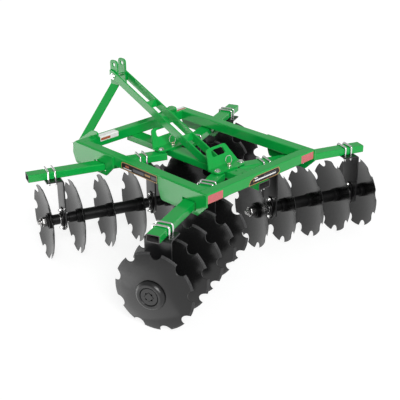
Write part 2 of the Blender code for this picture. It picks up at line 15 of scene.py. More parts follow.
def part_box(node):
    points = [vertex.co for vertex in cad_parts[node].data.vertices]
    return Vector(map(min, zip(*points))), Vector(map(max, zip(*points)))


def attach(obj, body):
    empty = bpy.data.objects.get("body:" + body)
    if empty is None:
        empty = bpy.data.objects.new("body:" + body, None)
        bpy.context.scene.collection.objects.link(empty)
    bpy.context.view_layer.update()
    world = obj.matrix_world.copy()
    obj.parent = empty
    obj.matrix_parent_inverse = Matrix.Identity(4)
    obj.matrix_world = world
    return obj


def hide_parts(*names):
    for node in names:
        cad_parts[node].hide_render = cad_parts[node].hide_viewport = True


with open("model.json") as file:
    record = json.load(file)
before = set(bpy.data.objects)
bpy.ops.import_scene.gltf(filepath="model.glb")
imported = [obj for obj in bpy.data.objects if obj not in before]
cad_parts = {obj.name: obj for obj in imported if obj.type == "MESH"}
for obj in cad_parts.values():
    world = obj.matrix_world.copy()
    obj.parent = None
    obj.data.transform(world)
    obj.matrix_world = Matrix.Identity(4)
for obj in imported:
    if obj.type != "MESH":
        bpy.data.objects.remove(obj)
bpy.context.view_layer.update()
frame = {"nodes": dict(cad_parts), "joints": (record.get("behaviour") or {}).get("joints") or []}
random.seed(7)

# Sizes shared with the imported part
disc_radius = 0.2286
disc_dish = 0.04
disc_thickness = 0.005
disc_spacing = 0.1905
discs_per_gang = 5
notch_count = 9
notch_radius = 0.033
notch_phase = {"front": math.radians(24), "rear": math.radians(4)}
phase_step = math.radians(8)
bearing_offset = {"front": 0.014, "rear": 0.0}  # outward from the middle between two discs
bearing_shift = 0.28575
bar_top = 0.556
bar_width = 0.078
bar_height = 0.046
bar_length = 0.865
bar_inset = 0.025  # of the bar's inner end past its pivot
frame_top = 0.6245
frame_bottom = 0.561
tube_side = 0.0635
tube_corner = 0.0068
half_width = 0.4572
hanger_width = 0.155
hanger_bottom = 0.16
hanger_foot = 0.1
foot_thickness = 0.01  # of the adjusters' plates
seam = 0.0003  # between pieces that touch

joints = {joint["name"]: joint for joint in frame["joints"]}
GANGS = ("front_left", "front_right", "rear_left", "rear_right")
SIDES = ((-1, "left"), (1, "right"))
shift = joints["angle_front_left"]["pos_m"][1] - 0.179  # of the machine's middle, along Y
frame_front = 0.5715 + shift
frame_rear = -0.5715 + shift
quarter = math.pi / 2


# Materials
class Look:
    """A Principled material and short ways to wire its nodes."""

    def __init__(self, name, colour, metallic, roughness):
        self.material = bpy.data.materials.new(name)
        self.material.use_nodes = True
        self.tree = self.material.node_tree
        self.shader = self.tree.nodes["Principled BSDF"]
        self.set(Base_Color=(*colour, 1), Metallic=metallic, Roughness=roughness)

    def set(self, **sockets):
        for key, value in sockets.items():
            self.shader.inputs[key.replace("_", " ")].default_value = value

    def node(self, kind, **settings):
        made = self.tree.nodes.new(kind)
        for key, value in settings.items():
            setattr(made, key, value)
        return made

    def link(self, out, into):
        self.tree.links.new(out, into)

    def drive(self, socket, out):
        self.link(out, self.shader.inputs[socket])

    def places(self):
        """Places on the object itself, in metres."""
        return self.node("ShaderNodeTexCoord").outputs["Object"]

    def noise(self, scale, detail=3.0, rough=0.5, places=None):
        made = self.node("ShaderNodeTexNoise")
        made.inputs["Scale"].default_value = scale
        made.inputs["Detail"].default_value = detail
        made.inputs["Roughness"].default_value = rough
        self.link(places or self.places(), made.inputs["Vector"])
        return made.outputs["Fac"]

    def ramp(self, value, stops):
        made = self.node("ShaderNodeValToRGB")
        ramp = made.color_ramp
        while len(ramp.elements) < len(stops):
            ramp.elements.new(0.5)
        for element, (position, colour) in zip(ramp.elements, stops):
            element.position = position
            element.color = (*colour, 1)
        self.link(value, made.inputs["Fac"])
        return made.outputs["Color"]

    def range(self, value, low, high):
        made = self.node("ShaderNodeMapRange")
        made.inputs["To Min"].default_value = low
        made.inputs["To Max"].default_value = high
        self.link(value, made.inputs["Value"])
        return made.outputs["Result"]

    def multiply(self, share, first, second):
        made = self.node("ShaderNodeMix", data_type="RGBA", blend_type="MULTIPLY")
        made.inputs["Factor"].default_value = share
        self.link(first, made.inputs["A"])
        self.link(second, made.inputs["B"])
        return made.outputs["Result"]

    def bump(self, height, distance, strength):
        made = self.node("ShaderNodeBump")
        made.inputs["Distance"].default_value = distance
        made.inputs["Strength"].default_value = strength
        self.link(height, made.inputs["Height"])
        self.drive("Normal", made.outputs["Normal"])

    def mottle(self, tone, stops, sheen, gloss, grain, relief):
        """Colour, roughness and bump, each from its own noise: scale, detail and roughness."""
        self.drive("Base Color", self.ramp(self.noise(*tone), stops))
        self.drive("Roughness", self.range(self.noise(*sheen), *gloss))
        self.bump(self.noise(*grain), *relief)
        return self


def shade(colour, share):
    return tuple(share * part for part in colour)


def paint_look(name, colour, dark, light, roughness, specular, peel=0.0006):
    """Sprayed enamel: slow drift in depth, orange peel, and dull fine specks."""
    look = Look(name, colour, 0.0, roughness)
    body = look.ramp(look.noise(5.0, 3.0), ((0.3, dark), (0.7, light)))
    specks = look.ramp(look.noise(900.0, 2.0), ((0.45, (0.94,) * 3), (0.6, (1.0,) * 3)))
    look.drive("Base Color", look.multiply(1.0, body, specks))
    smears = look.noise(14.0, 5.0, 0.6)
    look.drive("Roughness", look.range(smears, roughness - 0.07, roughness + 0.09))
    look.bump(look.noise(420.0, 2.0), peel, 0.12)
    look.set(Specular_IOR_Level=specular)
    return look


green = paint_look(
    "green_enamel", (0.003, 0.4, 0.06), (0.0025, 0.385, 0.056), (0.0035, 0.415, 0.064), 0.15, 0.43)
black = paint_look(
    "black_enamel", (0.006, 0.006, 0.0065), (0.004, 0.004, 0.0045), (0.008, 0.008, 0.0085), 0.3, 0.5)
cast_black = paint_look(
    "cast_black", (0.0035, 0.0035, 0.0037), (0.0025, 0.0025, 0.0027), (0.005, 0.005, 0.0053), 0.4, 0.2,
    0.0012)


def disc_look():
    """Glossy black enamel on a rolled disc, with faint rings and streaks in its gloss."""
    look = Look("disc_enamel", (0.006, 0.006, 0.006), 0.0, 0.24)
    rings = look.node("ShaderNodeMapping")
    rings.inputs["Scale"].default_value = (2.0, 60.0, 1.0)
    look.link(look.node("ShaderNodeUVMap", uv_map="turn").outputs["UV"], rings.inputs["Vector"])
    ring_noise = look.noise(3.0, 4.0, 0.6, rings.outputs["Vector"])
    tone = look.ramp(ring_noise, ((0.3, (0.005, 0.005, 0.0052)), (0.7, (0.0075, 0.0075, 0.0077))))
    drift = look.ramp(look.noise(7.0, 4.0), ((0.3, (0.85,) * 3), (0.7, (1.05,) * 3)))
    look.drive("Base Color", look.multiply(0.6, tone, drift))
    look.drive("Roughness", look.range(ring_noise, 0.21, 0.28))
    look.bump(ring_noise, 0.0002, 0.05)
    return look


def zinc_look(name, bright):
    """Bare or plated metal of a given colour, with a mottled sheen."""
    return Look(name, bright, 1.0, 0.24).mottle(
        (60.0, 4.0, 0.6), ((0.3, shade(bright, 0.84)), (0.7, bright)),
        (180.0, 3.0), (0.18, 0.3), (500.0, 2.0), (0.0002, 0.08))


def sticker_look(name, colour, roughness=0.45):
    """Printed vinyl: a faint grain and uneven gloss."""
    return Look(name, colour, 0.0, roughness).mottle(
        (700.0, 3.0), ((0.35, shade(colour, 0.9)), (0.65, colour)),
        (40.0, 4.0), (roughness - 0.08, roughness + 0.08), (300.0, 2.0), (0.0001, 0.1))


def reflector_look():
    """Red retroreflective tape: a fine cell pattern under clear film."""
    look = Look("reflector_red", (0.62, 0.075, 0.085), 0.0, 0.3)
    cells = look.node("ShaderNodeTexVoronoi", feature="DISTANCE_TO_EDGE")
    cells.inputs["Scale"].default_value = 330.0
    look.link(look.places(), cells.inputs["Vector"])
    edge = cells.outputs["Distance"]
    stops = ((0.0, (0.72, 0.2, 0.2)), (0.12, (0.6, 0.065, 0.075)), (1.0, (0.52, 0.05, 0.06)))
    look.drive("Base Color", look.ramp(edge, stops))
    look.drive("Roughness", look.range(look.noise(60.0, 3.0), 0.24, 0.36))
    look.bump(edge, 0.0002, 0.2)
    look.set(Coat_Weight=0.6, Coat_Roughness=0.1)
    return look


enamel = disc_look()
# The discs' ground edges: enamel worn thin over steel, scratched round the rim.
ground = Look("ground_edge", (0.05, 0.05, 0.05), 0.6, 0.42).mottle(
    (90.0, 4.0, 0.6), ((0.3, (0.035, 0.035, 0.036)), (0.7, (0.075, 0.075, 0.076))),
    (160.0, 3.0), (0.34, 0.5), (400.0, 2.0), (0.0002, 0.1))
# Mill scale on the cut ends of a tube; the same dark colour inside the tube is painted shade for its hollow.
scale_and_painted_shade = Look("scale_and_painted_shade", (0.045, 0.043, 0.045), 0.0, 0.55).mottle(
    (45.0, 5.0, 0.6), ((0.3, (0.03, 0.029, 0.03)), (0.7, (0.065, 0.06, 0.062))),
    (120.0, 3.0), (0.45, 0.65), (300.0, 3.0), (0.0003, 0.15))
zinc = zinc_look("zinc_plate", (0.88, 0.875, 0.87))
bright_zinc = zinc_look("zinc_bright", (0.92, 0.91, 0.9))
yellow_zinc = zinc_look("zinc_yellow", (0.9, 0.74, 0.52))
steel = zinc_look("machined_steel", (0.4, 0.395, 0.39))
vinyl_white = sticker_look("vinyl_white", (0.95, 0.95, 0.94))
vinyl_orange = sticker_look("vinyl_orange", (0.5, 0.13, 0.06))
vinyl_black = sticker_look("vinyl_black", (0.006, 0.006, 0.006), 0.35)
vinyl_black.set(Specular_IOR_Level=0.25)
vinyl_grey = sticker_look("vinyl_grey", (0.11, 0.11, 0.12))
vinyl_tan = sticker_look("vinyl_tan", (0.46, 0.27, 0.1))
reflector_red = reflector_look()


# Mesh helpers
def at(x, y, z):
    return Matrix.Translation((x, y, z))


def turn(angle, axis):
    return Matrix.Rotation(angle, 4, axis)


def spoke(radius, angle):
    """A point in a plane, at a radius and an angle."""
    return radius * math.cos(angle), radius * math.sin(angle)


def circle(radius, count, first=0.0):
    return [spoke(radius, first + math.tau * i / count) for i in range(count)]


def arc(centre, radius, first, last, steps):
    """Points in a plane round a centre."""
    angles = [first + (last - first) * i / steps for i in range(steps + 1)]
    return [(centre[0] + x, centre[1] + y) for x, y in (spoke(radius, angle) for angle in angles)]


def rounded(outline, radius, steps):
    """The outline with its corners rounded; radius is one number or one for each corner."""
    count = len(outline)
    radii = radius if isinstance(radius, list) else [radius] * count
    made = []
    for i in range(count):
        corner = Vector(outline[i])
        back = (Vector(outline[i - 1]) - corner).normalized()
        ahead = (Vector(outline[(i + 1) % count]) - corner).normalized()
        half = math.acos(max(-1, min(1, back.dot(ahead)))) / 2
        reach = radii[i] / math.tan(half)
        start, end = corner + back * reach, corner + ahead * reach
        middle = corner + (back + ahead).normalized() * (radii[i] / math.sin(half))
        first = math.atan2(start.y - middle.y, start.x - middle.x)
        last = math.atan2(end.y - middle.y, end.x - middle.x)
        spread = (last - first + math.pi) % math.tau - math.pi
        made += arc(middle, radii[i], first, first + spread, steps)
    return made


def panel(x0, x1, y0, y1, corner, steps=4):
    """A rectangle with round corners."""
    return rounded([(x0, y0), (x1, y0), (x1, y1), (x0, y1)], corner, steps)


def stacked(work, levels):
    """Rings of vertices from (outline, height) pairs."""
    return [[work.verts.new((x, y, z)) for x, y in outline] for outline, z in levels]


def bridge(work, first, second):
    """Faces between two rings of equal count, or between a ring and a single point."""
    count = max(len(first), len(second))
    for i in range(count):
        j = (i + 1) % count
        if len(first) == 1:
            work.faces.new((first[0], second[i], second[j]))
        elif len(second) == 1:
            work.faces.new((first[i], second[0], first[j]))
        else:
            work.faces.new((first[i], second[i], second[j], first[j]))


def bridge_all(work, rings, capped=False):
    for first, second in zip(rings, rings[1:]):
        bridge(work, first, second)
    if capped:
        work.faces.new(rings[0][::-1])
        work.faces.new(rings[-1])


def round_edges(work, angle, width):
    """Bevels the edges that turn by more than an angle in degrees."""
    bmesh.ops.recalc_face_normals(work, faces=work.faces)
    sharp = [edge for edge in work.edges if edge.calc_face_angle(0) > math.radians(angle)]
    bmesh.ops.bevel(
        work, geom=sharp, offset=width, segments=2, profile=0.5, affect="EDGES", clamp_overlap=True)


def flatten(thing):
    """Keeps wide faces flat in their shading, so that only the rounded edges turn."""
    level = thing.modifiers.new("flat_faces", "WEIGHTED_NORMAL")
    level.mode = "FACE_AREA"
    level.weight = 90
    level.keep_sharp = True


def placed(name, data):
    made = bpy.data.objects.new(name, data)
    bpy.context.scene.collection.objects.link(made)
    return made


class Builder:
    """Gathers shapes in one mesh, each with a place and a material number."""

    def __init__(self):
        self.work = bmesh.new()

    def take(self, fresh, place=None, slot=0, others=()):
        """Adds a shape; its faces numbered in others take the next material."""
        bmesh.ops.recalc_face_normals(fresh, faces=fresh.faces)
        fresh.normal_update()
        fresh.faces.ensure_lookup_table()
        if place is not None:
            bmesh.ops.transform(fresh, matrix=place, verts=fresh.verts)
        for face in fresh.faces:
            face.material_index = slot
            face.smooth = True
        for number in others:
            fresh.faces[number].material_index = slot + 1
        mesh = bpy.data.meshes.new("part")
        fresh.to_mesh(mesh)
        fresh.free()
        self.work.from_mesh(mesh)
        bpy.data.meshes.remove(mesh)

    def lathe(self, profile, steps, place, slot=0):
        """Turned about Z from (radius, height) points; the line ends on the axis or where it began."""
        fresh = bmesh.new()
        levels = [(circle(radius, steps if radius else 1), height) for radius, height in profile]
        bridge_all(fresh, stacked(fresh, levels))
        self.take(fresh, place, slot)

    def prism(self, outline, depth, place, slot=0, bevel=0.0):
        """An outline in XY carried from z = 0 to depth, its sharp edges rounded."""
        fresh = bmesh.new()
        bridge_all(fresh, stacked(fresh, ((outline, 0), (outline, depth))), True)
        if bevel:
            round_edges(fresh, 30, bevel)
        self.take(fresh, place, slot)

    def hexagon(self, radius, depth, place):
        """A nut or bolt head, chamfered at its corners."""
        self.prism(circle(radius, 6, math.pi / 6), depth, place, 0, 0.12 * radius)

    def sweep(self, points, radius, sides, place=None, slot=0, closed=False):
        """A round bar along a smooth line of points; radius is one number or one for each point."""
        fresh = bmesh.new()
        points = [Vector(p) for p in points]
        count = len(points)
        radii = radius if isinstance(radius, list) else [radius] * count
        rings = []
        side = None
        for i, point in enumerate(points):
            before = points[i - 1] if i or closed else point
            after = points[(i + 1) % count] if i < count - 1 or closed else point
            run = (after - before).normalized()
            if side is None:
                side = run.orthogonal().normalized()
            side = (side - run * side.dot(run)).normalized()
            other = run.cross(side)
            rings.append([
                fresh.verts.new(point + radii[i] * (math.cos(angle) * side + math.sin(angle) * other))
                for angle in (math.tau * k / sides for k in range(sides))
            ])
        bridge_all(fresh, rings, not closed)
        if closed:
            # The frames at the two ends may differ by a turn, so the last ring meets its nearest vertices.
            start = min(range(sides), key=lambda k: (rings[0][k].co - rings[-1][0].co).length)
            bridge(fresh, rings[-1], rings[0][start:] + rings[0][:start])
        self.take(fresh, place, slot)

    def finish(self, name, body, looks, material_slot=None, stands_for=(), smooth=34):
        """Makes the object and rides it on a body, in place of the nodes it stands for."""
        mesh = bpy.data.meshes.new(name)
        self.work.to_mesh(mesh)
        self.work.free()
        for look in looks:
            mesh.materials.append(look.material)
        mesh.set_sharp_from_angle(angle=math.radians(smooth))
        thing = placed(name, mesh)
        flatten(thing)
        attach(thing, body)
        if stands_for:
            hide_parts(*stands_for)


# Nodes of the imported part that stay, with their edges worn round
def smooth_group():
    """A node group that drops stored normals and keeps edges over an angle sharp."""
    group = bpy.data.node_groups.new("clean_shading", "GeometryNodeTree")
    for way in ("INPUT", "OUTPUT"):
        group.interface.new_socket("Geometry", in_out=way, socket_type="NodeSocketGeometry")
    start = group.nodes.new("NodeGroupInput")
    end = group.nodes.new("NodeGroupOutput")
    normal = group.nodes.new("GeometryNodeSetMeshNormal")
    normal.mode = "SHARPNESS"
    normal.inputs["Remove Custom"].default_value = True
    normal.inputs["Face Sharpness"].default_value = False
    angle = group.nodes.new("GeometryNodeInputMeshEdgeAngle")
    over = group.nodes.new("FunctionNodeCompare")
    over.data_type = "FLOAT"
    over.operation = "GREATER_THAN"
    over.inputs["B"].default_value = math.radians(33)
    group.links.new(start.outputs["Geometry"], normal.inputs["Mesh"])
    group.links.new(angle.outputs["Unsigned Angle"], over.inputs["A"])
    group.links.new(over.outputs["Result"], normal.inputs["Edge Sharpness"])
    group.links.new(normal.outputs["Mesh"], end.inputs["Geometry"])
    return group


shading = smooth_group()


def dress(names, look, width):
    for name in names:
        node = frame["nodes"][name]
        node.data.materials.clear()
        node.data.materials.append(look.material)
        weld = node.modifiers.new("weld", "WELD")
        weld.merge_threshold = 0.00002
        bevel = node.modifiers.new("worn_edges", "BEVEL")
        bevel.width = width
        bevel.segments = 2
        bevel.limit_method = "ANGLE"
        bevel.angle_limit = math.radians(40)
        clean = node.modifiers.new("clean_shading", "NODES")
        clean.node_group = shading
        flatten(node)
        for face in node.data.polygons:
            face.use_smooth = True


tubes = ["cross_tube_front", "cross_tube_rear", "centre_beam", "adjuster_plate_front", "adjuster_plate_rear"]
tubes += [f"side_rail_{hand}" for _, hand in SIDES] + [f"gang_bar_{gang}" for gang in GANGS]
plates = ["mast_braces"] + [f"side_plate_{gang}" for gang in GANGS]
plates += [f"{piece}_{hand}" for piece in ("hitch_plate", "mast_bar") for _, hand in SIDES]
dress(tubes, green, 0.0008)
dress(plates, green, 0.0012)


# Disc gangs
edge_thickness = 0.0014
bevel_radius = disc_radius - 0.012  # where the ground edge starts
notch_chamfer = 0.0014
rim_chamfer = 0.0003
rim_lip = 0.0004
inner_radii = (0.178, 0.16, 0.14, 0.118, 0.098, 0.078, 0.058)


def dish(radius):
    sphere = (disc_radius ** 2 + disc_dish ** 2) / (2 * disc_dish)
    return sphere - math.sqrt(sphere ** 2 - radius ** 2)


def underside(radius):
    """The disc thins to its ground rim."""
    share = max(0.0, (radius - bevel_radius) / (disc_radius - bevel_radius))
    return dish(radius) - disc_thickness - share * (edge_thickness - disc_thickness)


def lip_height(radius):
    return underside(radius) + (rim_lip if radius > bevel_radius else notch_chamfer)


def notched_outline(notch_steps=14, rim_steps=8):
    """(radius, angle) round a disc's edge: a notch, then a stretch of rim."""
    half = math.acos(1 - notch_radius ** 2 / (2 * disc_radius ** 2))
    meet = math.acos(notch_radius / (2 * disc_radius))
    pitch = math.tau / notch_count
    points = []
    for n in range(notch_count):
        for i in range(notch_steps + 1):
            x, y = spoke(notch_radius, meet * (2 * i / notch_steps - 1))
            points.append((math.hypot(disc_radius - x, y), pitch * n + math.atan2(y, disc_radius - x)))
        for i in range(1, rim_steps):
            points.append((disc_radius, pitch * n + half + (pitch - 2 * half) * i / rim_steps))
    return points


edge_ring = notched_outline()
on_rim = [radius > bevel_radius for radius, _ in edge_ring]


def disc(builder, place):
    """One notched, dished disc, concave toward +Z, ground to an edge on its convex side."""
    fresh = bmesh.new()
    polar = {}

    def ring(points, height):
        made = []
        for radius, angle in points:
            vertex = fresh.verts.new((*spoke(radius, angle), height(radius)))
            polar[vertex] = (angle, radius)
            made.append(vertex)
        return made

    chamfer = [(radius - (rim_chamfer if rim else notch_chamfer), angle)
               for (radius, angle), rim in zip(edge_ring, on_rim)]
    step = [(min(radius - 2 * notch_chamfer, bevel_radius), angle) for radius, angle in edge_ring]
    circles = [[(radius, angle) for _, angle in edge_ring] for radius in inner_radii] + [[(0, 0)]]
    above = [ring(points, dish) for points in (edge_ring, step, *circles)]
    lip = ring(edge_ring, lip_height)
    below = [lip] + [ring(points, underside) for points in (chamfer, step, *circles)]
    bridge_all(fresh, above)
    for first, second in zip(below, below[1:]):
        bridge(fresh, second, first)
    bridge(fresh, lip, above[0])
    bmesh.ops.recalc_face_normals(fresh, faces=fresh.faces)

    banded = {vertex for vertex, rim in zip(below[1], on_rim) if rim}
    lips = set(lip)
    cut = lips | {vertex for vertex, rim in zip(above[0], on_rim) if not rim}
    fresh.faces.index_update()
    worn = []
    for face in fresh.faces:
        corners = set(face.verts)
        if len(corners & banded) == 2 and not corners & lips or corners <= cut:
            worn.append(face.index)

    layer = fresh.loops.layers.uv.new("turn")
    for face in fresh.faces:
        angles = [polar[vertex][0] for vertex in face.verts if polar[vertex][1] > 0]
        for loop in face.loops:
            angle, radius = polar[loop.vert]
            if radius == 0:
                angle = sum(angles) / len(angles)
            elif max(angles) - angle > math.pi:
                angle += math.tau
            loop[layer].uv = (angle / math.tau, radius / disc_radius)
    builder.take(fresh, place, 0, worn)


washer_height = 0.017
nut_radius = 0.0305
nut_height = 0.026
nut_reach = 0.0355  # of the castle nut, crown and all
crown_height = 0.012
crown_radius = 0.0245
cotter = [(-0.031, 0, 0), (-0.01, 0, 0), (0.01, 0, 0), (0.027, 0, 0), (0.0315, 0.004, 0)]
cotter_radius = 0.0024
thread_radius = 0.0145
end_reach = 0.018
flange_radius = 0.043
waist_radius = 0.037
neck_radius = 0.032
journal_radius = 0.025
housing_width = 0.046
slip = 0.005
bumper_height = 0.022
axle_side = 0.037
star_slack = 0.0017
last_disc = disc_spacing * (discs_per_gang - 1) / 2


def spool_profile(top, bottom, outward=None):
    """A cast spool between two discs; with a bearing on it, outward is that bearing's shift."""
    wide = flange_radius
    narrow = waist_radius if outward is None else neck_radius
    profile = [(radius, top - z) for radius, z in (
        (0, 0), (wide - 0.003, 0), (wide - 0.0015, 0.001), (wide - 0.001, 0.007), (wide - 0.003, 0.009),
        (narrow, 0.012))]
    if outward is not None:
        middle = (top + bottom) / 2 + outward
        gap = housing_width / 2 + slip
        half = [(narrow, gap + 0.002), (narrow - 0.002, gap), (journal_radius, gap)]
        profile += [(radius, middle + z) for radius, z in half]
        profile += [(radius, middle - z) for radius, z in reversed(half)]
    return profile + [(radius, bottom + z) for radius, z in (
        (narrow, 0.0325), (wide - 0.0035, 0.0305), (wide - 0.003, 0.0225), (wide - 0.001, 0.021),
        (wide, 0.0195), (wide, 0.002), (wide - 0.002, 0), (0, 0))]


def thread(radius, depth, start, pitch, rise, turns):
    """Crests and roots of a screw's thread, as (radius, height) points."""
    return [point for k in range(turns)
            for point in ((radius, start + k * pitch), (radius - depth, start + k * pitch + rise))]


def star_face(builder, radius, low, depth, place):
    """The bumper's face round its eight-pointed hole, which takes the square axle either way."""
    fresh = bmesh.new()
    half = axle_side / 2 + star_slack
    steps = 64
    rim = circle(radius, steps)
    star = []
    for angle in (math.tau * i / steps for i in range(steps)):
        narrow = min(max(map(abs, spoke(1, angle + tilt))) for tilt in (0, quarter / 2))
        star.append(spoke(half / narrow, angle))
    high = low + depth
    rings = stacked(fresh, ((rim, low), (star, low), (star, high), (rim, high)))
    bridge_all(fresh, rings + rings[:1])
    fresh.faces.index_update()
    wide = [face.index for face in fresh.faces if max(vertex.co.z for vertex in face.verts) < low + 1e-6]
    builder.take(fresh, place, 0, wide)


def castle_nut(builder, low, top, place):
    """A hexagon nut with slots for a cotter pin in its narrower crown."""
    builder.hexagon(nut_radius, top - crown_height - low, place @ at(0, 0, low))
    pitch = math.tau / 6
    for k in range(6):
        tooth = [spoke(crown_radius, pitch * (k + share)) for share in (-0.34, -0.12, 0.12, 0.34)]
        tooth += [spoke(0.015, pitch * (k + share)) for share in (0.34, -0.34)]
        builder.prism(tooth, crown_height + 0.001, place @ at(0, 0, top - crown_height - 0.001), 0, 0.0008)
    builder.sweep(cotter, cotter_radius, 8, place @ turn(pitch / 2, "Z") @ at(0, 0, top - 0.005))


def lie(gang):
    """A gang's two joints, its heading from +X, its end of the machine, and 1 in front or -1 behind."""
    swing, spin = joints[f"angle_{gang}"], joints[f"spin_{gang}"]
    end = gang.split("_")[0]
    return swing, spin, math.atan2(spin["axis"][1], spin["axis"][0]), end, 1 if end == "front" else -1


for gang in GANGS:
    _, spin, heading, end, facing = lie(gang)
    string = at(*spin["pos_m"]) @ turn(heading, "Z") @ turn(facing * quarter, "Y")
    body = f"gang_{gang}"

    discs = Builder()
    for i in range(discs_per_gang):
        phase = notch_phase[end] - (i % 2) * phase_step
        disc(discs, string @ at(0, 0, last_disc - i * disc_spacing) @ turn(phase, "Z"))
    discs.finish(f"discs_{gang}", body, [enamel, ground], "disc_paint", [f"disc_gang_{gang}"], 25)

    spools = Builder()
    for i in range(discs_per_gang - 1):
        upper = last_disc - i * disc_spacing - disc_thickness
        lower = last_disc - (i + 1) * disc_spacing
        outward = bearing_offset[end] if i in (0, discs_per_gang - 2) else None
        spools.lathe(spool_profile(upper, lower, outward), 48, string)
    low = -last_disc - disc_thickness
    rim = low - bumper_height
    bumper = [(0, low + 0.002), (0.079, low + dish(0.079)), (0.083, low + dish(0.083) - 0.003)]
    bumper += [(0.084, low + dish(0.084) - 0.006), (0.0835, low - 0.0025), (0.0818, low - 0.008)]
    bumper += [(0.0788, low - 0.013), (0.075, low - 0.0172), (0.0712, low - 0.02)]
    bumper += [(radius, rim + z) for radius, z in (
        (0.068, 0), (0.061, -0.0005), (0.0545, 0.001), (0.052, 0.0045), (0.0505, 0.007), (0.049, 0.006),
        (0.0475, 0.0035), (0.0455, 0.003), (0.0305, 0.003), (0.029, 0.016), (0, 0.016))]
    spools.lathe(bumper, 64, string, 1)
    star_face(spools, 0.0307, rim + 0.0029, 0.014, string)
    washers = ((0, 0), (0.046, 0), (0.048, 0.002), (0.048, 0.015), (0.046, 0.017), (0.0375, 0.0175),
               (0.037, 0.019), (0.037, 0.023), (0.0355, 0.0245), (0, 0.0245))
    spools.lathe([(radius, last_disc + z) for radius, z in washers], 48, string)
    spools.finish(f"spools_{gang}", body, [cast_black, black], "black_paint", (), 35)

    ends = Builder()
    top = last_disc + 2 * washer_height + nut_height
    castle_nut(ends, top - nut_reach, top, string)
    stem = [(0, top - 0.004), (thread_radius, top - 0.004)]
    stem += thread(thread_radius, 0.0012, top - 0.002, 0.0026, 0.0012, 7)
    tip = top + end_reach
    stem += [(thread_radius - 0.002, top + 0.0168), (thread_radius - 0.004, tip), (0, tip)]
    ends.lathe(stem, 24, string)
    half = axle_side / 2
    ends.prism(panel(-half, half, -half, half, 0.003, 3), 0.016,
               string @ turn(quarter / 2, "Z") @ at(0, 0, rim + 0.0012), 1, 0.0008)
    ends.finish(f"axle_ends_{gang}", body, [steel, black], "zinc", (), 30)


# Hangers, U-bolts and bearings
hanger_thickness = 0.009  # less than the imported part's
hanger_bend = 0.014
toe_height = 0.04  # of the hanger's tapered end
toe_taper = 0.05
foot_top = bar_top - bar_height - seam
foot_under = foot_top - hanger_thickness
wire = 0.0065
ubolt_bend = 0.0095
ubolt_washer = [(0, 0), (0.0125, 0), (0.013, -0.0006), (0.013, -0.0022), (0, -0.0022)]
bolt_offsets = (0.038, 0.079)  # of the U-bolts from the hanger's back
flange_bolts = (-0.058, 0.058)
flange_washer = [(0, 0), (0.0128, 0), (0.0132, 0.0005), (0.0132, 0.002), (0.0128, 0.0024), (0, 0.0024)]
pivot_washer = [(0, 0), (0.0185, 0), (0.019, 0.0005), (0.019, 0.0022), (0.0186, 0.0027), (0, 0.0027)]


def ribbon(builder, path, widths, place):
    """A hanger's plate bent along a path in XZ; widths gives its half width in Y at each point."""
    fresh = bmesh.new()
    rows = []
    count = len(path)
    for i, (x, z) in enumerate(path):
        before = Vector(path[max(i - 1, 0)])
        after = Vector(path[min(i + 1, count - 1)])
        run = (after - before).normalized()
        lean = 1.0
        if 0 < i < count - 1:
            lean = 1 / max(0.5, (Vector(path[i]) - before).normalized().dot(run))
        off = Vector((-run.y, run.x)) * hanger_thickness / 2 * lean
        rows.append([
            fresh.verts.new((x + side * off.x, side * way * widths[i], z + side * off.y))
            for side, way in ((1, -1), (1, 1), (-1, -1), (-1, 1))
        ])
    bridge_all(fresh, rows, True)
    round_edges(fresh, 35, 0.0012)
    builder.take(fresh, place)


def ubolt(builder, along, place):
    """A round U-bolt over the bar, its threads and nuts under the hanger's foot."""
    half = bar_width / 2 + seam + wire
    top = bar_top + seam + wire
    leg = [(-half, foot_under - 0.024), (-half, top - ubolt_bend - 0.01)]
    leg += arc((-half + ubolt_bend, top - ubolt_bend), ubolt_bend, math.pi, quarter, 7)
    leg += [(-y, z) for y, z in reversed(leg)]
    builder.sweep([(along, y, z) for y, z in leg], wire, 16, place)
    crest = wire + 0.0004
    low = foot_under - 0.0135
    end = [(0, low), (crest, low)] + thread(crest, 0.001, low - 0.0006, -0.0024, -0.0012, 4)
    end += [(wire - 0.001, low - 0.0108), (0, low - 0.0108)]
    for y in (-half, half):
        builder.lathe(ubolt_washer, 20, place @ at(along, y, foot_under - 0.0001))
        builder.hexagon(0.0115, 0.0095, place @ at(along, y, foot_under - 0.012))
        builder.lathe(end, 16, place @ at(along, y, 0))


def ringed(builder, outline, hole, low, depth, place, slot):
    """A flange plate with a round hole through it and a worn outer edge."""
    fresh = bmesh.new()
    wear = 0.0015
    shares = [(1 - wear / length, hole / length) for length in (math.hypot(x, y) for x, y in outline)]
    worn, bore = ([(x * share[k], y * share[k]) for (x, y), share in zip(outline, shares)] for k in (0, 1))
    high = low + depth
    rings = stacked(fresh, ((outline, low), (outline, high - wear), (worn, high), (bore, high), (bore, low)))
    bridge_all(fresh, rings + rings[:1])
    builder.take(fresh, place, slot)


